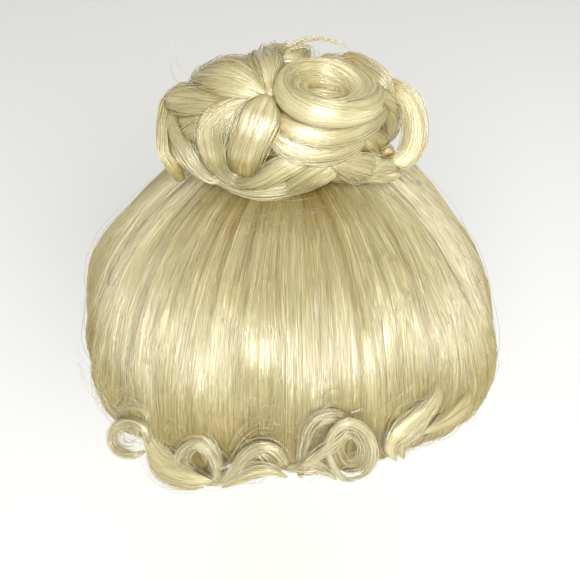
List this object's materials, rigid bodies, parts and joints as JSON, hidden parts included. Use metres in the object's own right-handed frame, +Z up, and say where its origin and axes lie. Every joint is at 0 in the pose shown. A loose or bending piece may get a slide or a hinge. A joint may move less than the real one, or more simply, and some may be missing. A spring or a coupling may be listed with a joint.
{
  "type": "updo costume wig",
  "caption": "Pale blond costume wig with a tall swept-up front roll, a bun of pinned looped locks on the crown and small curls along the front hem.",
  "frame": {"origin": "crown apex of the hollow that the head goes into, on the inside of the cap", "axes": "+Z up along the wearer's head, -Y towards the face, +X to the right as seen from the front"},
  "size_m": [0.236, 0.2183, 0.2225],
  "materials": {
    "hair_roll": "combed synthetic hair, soft silky gloss",
    "hair_bun": "looped synthetic hair locks, soft silky gloss",
    "hair_curls": "curled synthetic hair, soft silky gloss",
    "hair_inner": "packed synthetic hair in shade, matt",
    "cap_net": "fine stretch net with sewn hair rows, matt"
  },
  "bodies": {
    "root": {"wig_cap": "cap_net", "bouffant": "hair_roll", "bun_core": "hair_inner", "back_puff_left": "hair_bun", "back_puff_mid": "hair_bun", "back_puff_right": "hair_bun", "side_puff_right": "hair_bun", "rose_roll": "hair_bun", "top_tuft": "hair_bun", "right_back_lock": "hair_bun", "right_mid_lock": "hair_bun", "left_loop": "hair_bun", "right_loop": "hair_bun", "crescent_lock": "hair_bun", "right_lower_lock": "hair_bun", "rose_band_lower": "hair_bun", "rose_band_upper": "hair_bun", "puff_left_lower": "hair_bun", "puff_top_left": "hair_bun", "puff_left_upper": "hair_bun", "top_fan_lock": "hair_bun", "left_diagonal_lock": "hair_bun", "u_loop": "hair_bun", "center_tongue": "hair_bun", "temple_small_curl": "hair_curls", "temple_lock": "hair_curls", "temple_ring_curl": "hair_curls", "brow_curl_left": "hair_curls", "brow_arch_curl": "hair_curls", "brow_sweep_lock": "hair_curls", "brow_swirl_curl": "hair_curls", "brow_ring_curl": "hair_curls", "right_hem_lock": "hair_curls", "right_ringlet": "hair_curls"}
  },
  "joints": []
}
